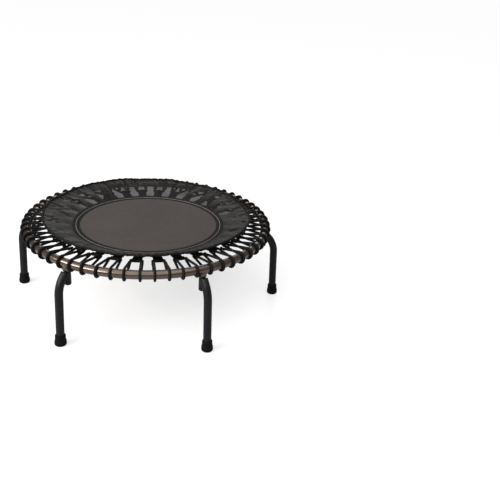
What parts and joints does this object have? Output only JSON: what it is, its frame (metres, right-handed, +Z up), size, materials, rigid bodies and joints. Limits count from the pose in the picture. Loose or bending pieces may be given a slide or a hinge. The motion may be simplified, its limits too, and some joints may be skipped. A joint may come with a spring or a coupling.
{
  "type": "mini trampoline",
  "caption": "Low round fitness trampoline: steel ring on arched bolt-on legs with rubber feet, woven mat hung on elastic cord loops, flared nylon skirt.",
  "frame": {"origin": "on the floor, on the ring's axis, at the bottom centre of the part's box", "axes": "+Z up, out of the mat; +X from the centre towards leg 1"},
  "size_m": [1.1136, 1.0114, 0.3511],
  "materials": {
    "ring_paint": "metallic bronze powder coat, satin",
    "leg_paint": "black powder coat, satin",
    "bolt_steel": "black oxide, satin",
    "foot_rubber": "moulded, matt",
    "cord_sheath": "braided polyester sheath over rubber strands",
    "mat_weave": "tight plain weave polypropylene, warm dark grey",
    "band_webbing": "woven webbing with one pale stitched line",
    "skirt_nylon": "thin coated nylon, glossy, puckered"
  },
  "bodies": {
    "frame": {"ring_tube": "ring_paint", "leg_socket_1": "ring_paint", "leg_socket_2": "ring_paint", "leg_socket_3": "ring_paint", "leg_socket_4": "ring_paint", "leg_socket_5": "ring_paint", "leg_socket_6": "ring_paint", "leg_1": "leg_paint", "leg_2": "leg_paint", "leg_3": "leg_paint", "leg_4": "leg_paint", "leg_5": "leg_paint", "leg_6": "leg_paint", "leg_bolt_1": "bolt_steel", "leg_bolt_2": "bolt_steel", "leg_bolt_3": "bolt_steel", "leg_bolt_4": "bolt_steel", "leg_bolt_5": "bolt_steel", "leg_bolt_6": "bolt_steel", "foot_1": "foot_rubber", "foot_2": "foot_rubber", "foot_3": "foot_rubber", "foot_4": "foot_rubber", "foot_5": "foot_rubber", "foot_6": "foot_rubber", "cord_01": "cord_sheath", "cord_02": "cord_sheath", "cord_03": "cord_sheath", "cord_04": "cord_sheath", "cord_05": "cord_sheath", "cord_06": "cord_sheath", "cord_07": "cord_sheath", "cord_08": "cord_sheath", "cord_09": "cord_sheath", "cord_10": "cord_sheath", "cord_11": "cord_sheath", "cord_12": "cord_sheath", "cord_13": "cord_sheath", "cord_14": "cord_sheath", "cord_15": "cord_sheath", "cord_16": "cord_sheath", "cord_17": "cord_sheath", "cord_18": "cord_sheath", "cord_19": "cord_sheath", "cord_20": "cord_sheath", "cord_21": "cord_sheath", "cord_22": "cord_sheath", "cord_23": "cord_sheath", "cord_24": "cord_sheath", "cord_25": "cord_sheath", "cord_26": "cord_sheath", "cord_27": "cord_sheath", "cord_28": "cord_sheath", "cord_29": "cord_sheath", "cord_30": "cord_sheath"},
    "mat": {"jumping_mat": "mat_weave", "rim_band": "band_webbing", "skirt": "skirt_nylon"}
  },
  "joints": [
    {"name": "mat_bounce", "type": "slide", "parent": "frame", "child": "mat", "axis": [0, 0, 1], "range_m": [-0.1, 0], "stiffness_N_per_m": 9000, "springref_m": 0.002, "deforming": ["cord_01", "cord_02", "cord_03", "cord_04", "cord_05", "cord_06", "cord_07", "cord_08", "cord_09", "cord_10", "cord_11", "cord_12", "cord_13", "cord_14", "cord_15", "cord_16", "cord_17", "cord_18", "cord_19", "cord_20", "cord_21", "cord_22", "cord_23", "cord_24", "cord_25", "cord_26", "cord_27", "cord_28", "cord_29", "cord_30"]}
  ]
}
